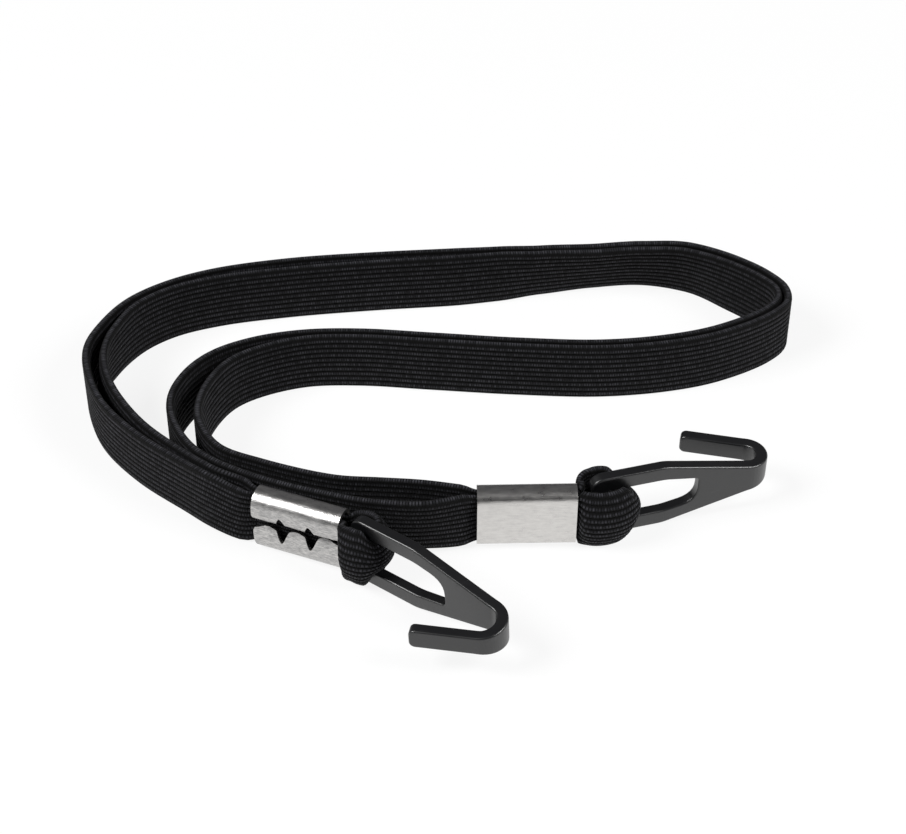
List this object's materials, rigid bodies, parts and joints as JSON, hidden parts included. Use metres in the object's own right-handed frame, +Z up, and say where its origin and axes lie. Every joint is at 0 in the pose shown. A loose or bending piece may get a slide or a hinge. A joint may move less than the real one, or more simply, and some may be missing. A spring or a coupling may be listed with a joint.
{
  "type": "bungee cord",
  "caption": "Flat elastic bungee strap, doubled, lying in an S on its edge, with folded steel hooks looped through crimped metal clips at its ends.",
  "frame": {"origin": "middle of the footprint, on the floor that the strap lies on", "axes": "+X along the long runs towards hook B, +Y from the clips to the back run, +Z up"},
  "size_m": [0.1554, 0.1288, 0.0163],
  "materials": {
    "woven_cover": "matt woven black with fine ribs",
    "rubber_core": "plain black rubber threads",
    "coated_steel": "satin black coat on steel",
    "clip_sheet": "bright rolled sheet"
  },
  "bodies": {
    "strap": {"outer_ply_coil_cover": "woven_cover", "outer_ply_coil_core": "rubber_core", "inner_ply_coil_cover": "woven_cover", "inner_ply_coil_core": "rubber_core", "outer_ply_run_cover": "woven_cover", "outer_ply_run_core": "rubber_core", "inner_ply_run_cover": "woven_cover", "inner_ply_run_core": "rubber_core", "clip_a": "clip_sheet", "loop_a_cover": "woven_cover", "loop_a_core": "rubber_core"},
    "end_b": {"clip_b": "clip_sheet", "loop_b_cover": "woven_cover", "loop_b_core": "rubber_core"},
    "hook_a": {"hook_a": "coated_steel"},
    "hook_b": {"hook_b": "coated_steel"}
  },
  "joints": [
    {"name": "hook_a_swing", "type": "hinge", "parent": "strap", "child": "hook_a", "pos_m": [-0.01574, -0.03613, 0.00794], "axis": [0.039, 0.0018, -0.9992], "range_deg": [-42, 38]},
    {"name": "hook_b_swing", "type": "hinge", "parent": "end_b", "child": "hook_b", "pos_m": [0.03108, -0.02391, 0.00797], "axis": [0.0013, -0.0523, 0.9986], "range_deg": [-46, 33]},
    {"name": "band_stretch", "type": "slide", "parent": "strap", "child": "end_b", "axis": [0.9997, 0.0244, 0], "range_m": [0, 0.06], "stiffness_N_per_m": 170}
  ]
}
